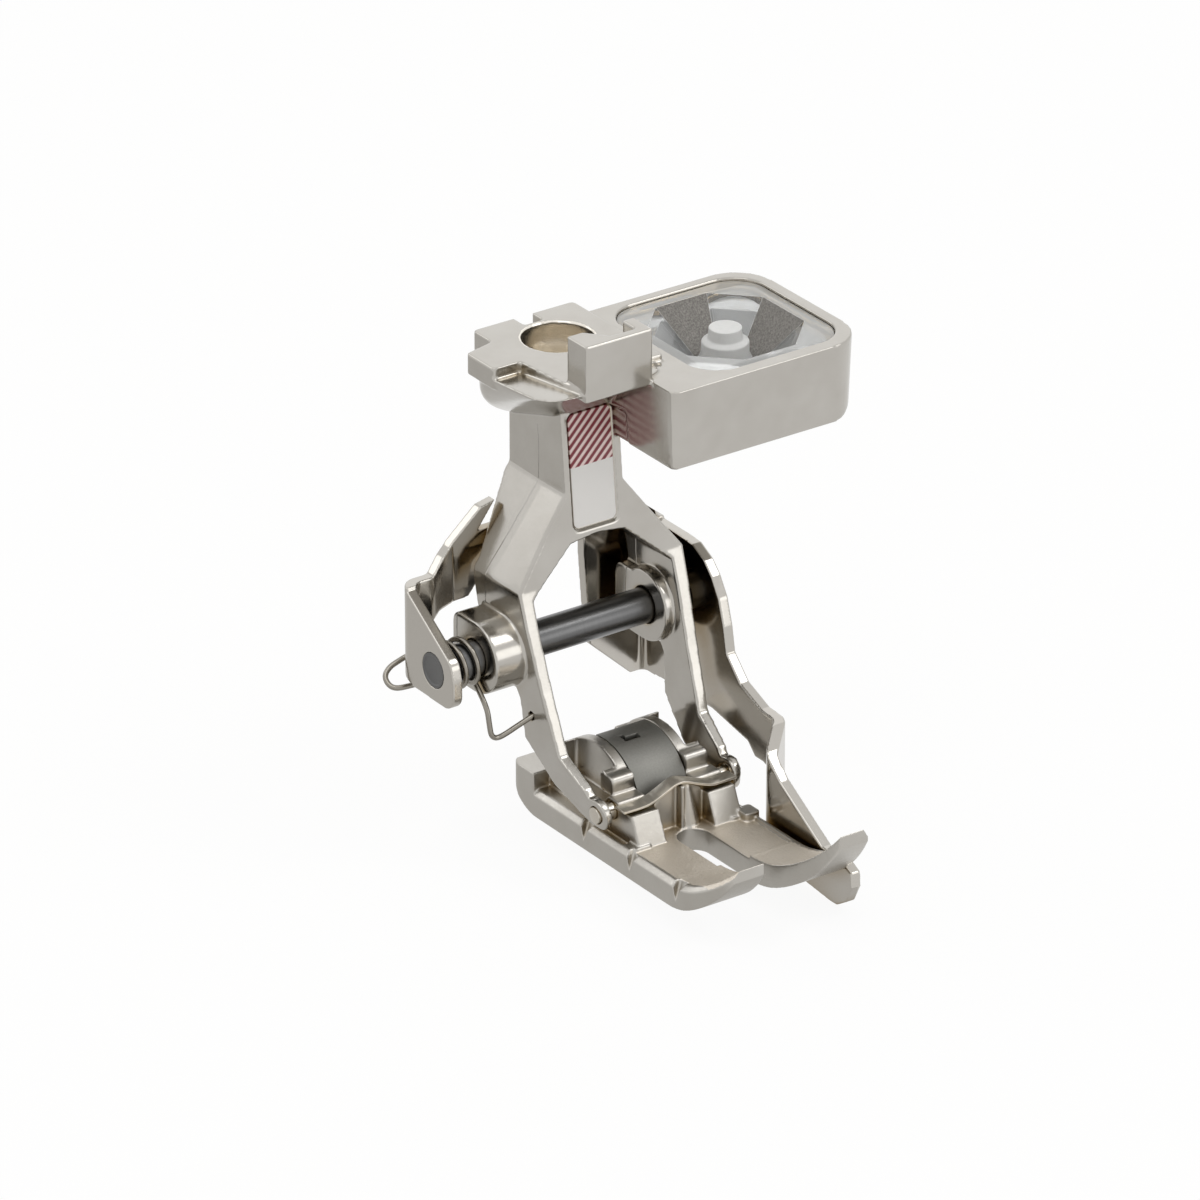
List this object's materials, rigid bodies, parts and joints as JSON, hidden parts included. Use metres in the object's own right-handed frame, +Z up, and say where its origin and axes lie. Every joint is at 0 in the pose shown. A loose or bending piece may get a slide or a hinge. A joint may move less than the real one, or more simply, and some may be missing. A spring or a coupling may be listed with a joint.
{
  "type": "sewing machine presser foot",
  "caption": "Hinged patchwork presser foot with a sprung seam guide on its right, a forked shank, a clear code lens in a side housing and a notched, two-toed sole.",
  "frame": {"origin": "centre of the shank bore's mouth, on the top face of the head", "axes": "+Z up along the presser bar, the way the bar's cone leaves the bore; +X to the machine's right, where the code housing stands out; -Y to the front, where the toes are"},
  "size_m": [0.0372, 0.0387, 0.0448],
  "materials": {
    "nickel_casting": "satin nickel plate",
    "clear_lens": "clear moulded plastic, frosted stake",
    "label_foil": "matt foil with dark red stripes",
    "dark_steel": "ground steel",
    "spring_wire": "drawn spring wire",
    "nickel_sheet": "satin nickel plate",
    "sole_nickel": "satin nickel plate",
    "grey_satin": "fine satin grey",
    "pin_steel": "polished",
    "leaf_steel": "polished spring steel"
  },
  "bodies": {
    "shank_body": {"shank": "nickel_casting", "code_lens": "clear_lens", "label": "label_foil"},
    "seam_guide": {"guide_bracket": "nickel_sheet", "cross_shaft": "dark_steel", "torsion_spring": "spring_wire"},
    "sole_unit": {"sole": "sole_nickel", "feed_shield": "grey_satin", "hinge_pins": "pin_steel", "leaf_spring": "leaf_steel"}
  },
  "joints": [
    {"name": "guide_hinge", "type": "hinge", "parent": "shank_body", "child": "seam_guide", "pos_m": [0, -0.0038, -0.024], "axis": [1, 0, 0], "range_deg": [-20, 0], "stiffness_Nm_per_rad": 0.01, "springref_deg": 28.65, "deforming": ["torsion_spring"]},
    {"name": "sole_hinge", "type": "hinge", "parent": "shank_body", "child": "sole_unit", "pos_m": [0, -0.0148, -0.0348], "axis": [1, 0, 0], "range_deg": [-8, 8], "stiffness_Nm_per_rad": 0.02}
  ]
}
